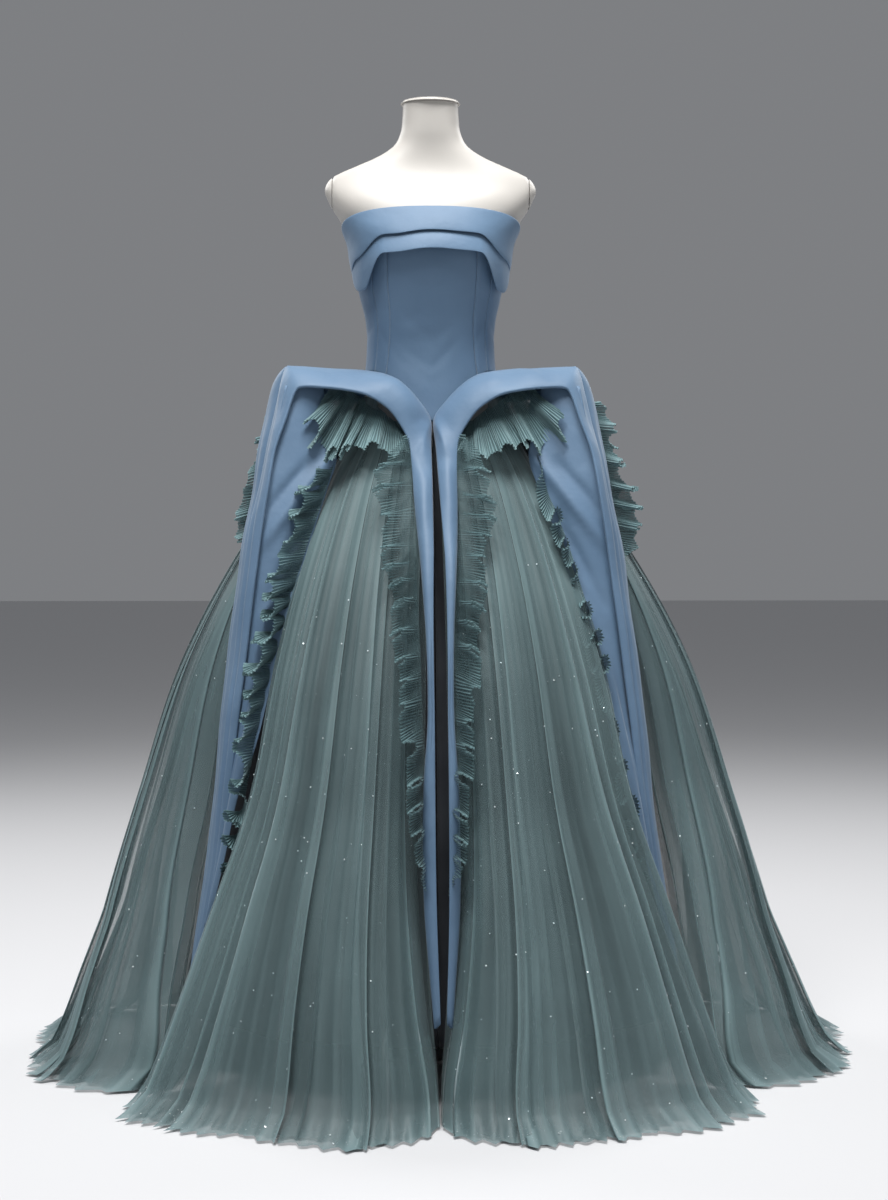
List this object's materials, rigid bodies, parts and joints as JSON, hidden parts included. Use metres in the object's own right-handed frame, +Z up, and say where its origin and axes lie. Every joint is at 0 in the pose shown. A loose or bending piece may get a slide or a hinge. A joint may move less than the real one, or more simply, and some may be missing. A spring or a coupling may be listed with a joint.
{
  "type": "ball gown on a limbless dress form",
  "caption": "Strapless satin ball gown with a scalloped overskirt, frills and a full glitter tulle skirt, worn by a limbless dress form on a round stand.",
  "frame": {"origin": "on the floor under the pole, at the middle of the stand's base", "axes": "+Z up, the front of the gown towards -Y, +X to the viewer's right when looking at the front"},
  "size_m": [1.4574, 1.4004, 1.6806],
  "materials": {
    "satin": "dusty blue duchess satin with a soft sheen",
    "frill_tulle": "teal tulle in fine pleats with a crinkled edge",
    "glitter_tulle": "sheer grey teal tulle with fine glitter",
    "underskirt_cloth": "matt grey teal underskirt cloth",
    "form_shell": "warm off-white satin lacquer",
    "stand_metal": "brushed steel"
  },
  "bodies": {
    "root": {"bodice_centre_front": "satin", "bodice_front_left": "satin", "bodice_front_right": "satin", "bodice_side_left": "satin", "bodice_side_right": "satin", "bodice_back_left": "satin", "bodice_back_right": "satin", "band_upper": "satin", "band_lower": "satin", "hood_front_left": "satin", "hood_back_left": "satin", "hood_front_right": "satin", "hood_back_right": "satin", "hood_side_left": "satin", "hood_side_right": "satin", "facing_front_left": "satin", "facing_back_left": "satin", "facing_front_right": "satin", "facing_back_right": "satin", "frill_top_front_left": "frill_tulle", "frill_top_back_left": "frill_tulle", "frill_top_front_right": "frill_tulle", "frill_top_back_right": "frill_tulle", "frill_outer_front_left": "frill_tulle", "frill_outer_back_left": "frill_tulle", "frill_outer_front_right": "frill_tulle", "frill_outer_back_right": "frill_tulle", "frill_inner_front_left": "frill_tulle", "frill_inner_back_left": "frill_tulle", "frill_inner_front_right": "frill_tulle", "frill_inner_back_right": "frill_tulle", "frill_hip_left": "frill_tulle", "frill_hip_right": "frill_tulle", "tulle_front_left": "glitter_tulle", "tulle_back_left": "glitter_tulle", "tulle_front_right": "glitter_tulle", "tulle_back_right": "glitter_tulle", "tulle_side_left": "glitter_tulle", "tulle_side_right": "glitter_tulle", "underskirt_front_left": "underskirt_cloth", "underskirt_back_left": "underskirt_cloth", "underskirt_front_right": "underskirt_cloth", "underskirt_back_right": "underskirt_cloth", "form_torso": "form_shell", "form_neck_cap": "form_shell", "form_arm_plate_left": "form_shell", "form_arm_plate_right": "form_shell", "stand_base": "stand_metal", "stand_pole": "stand_metal", "stand_socket": "stand_metal"}
  },
  "joints": []
}
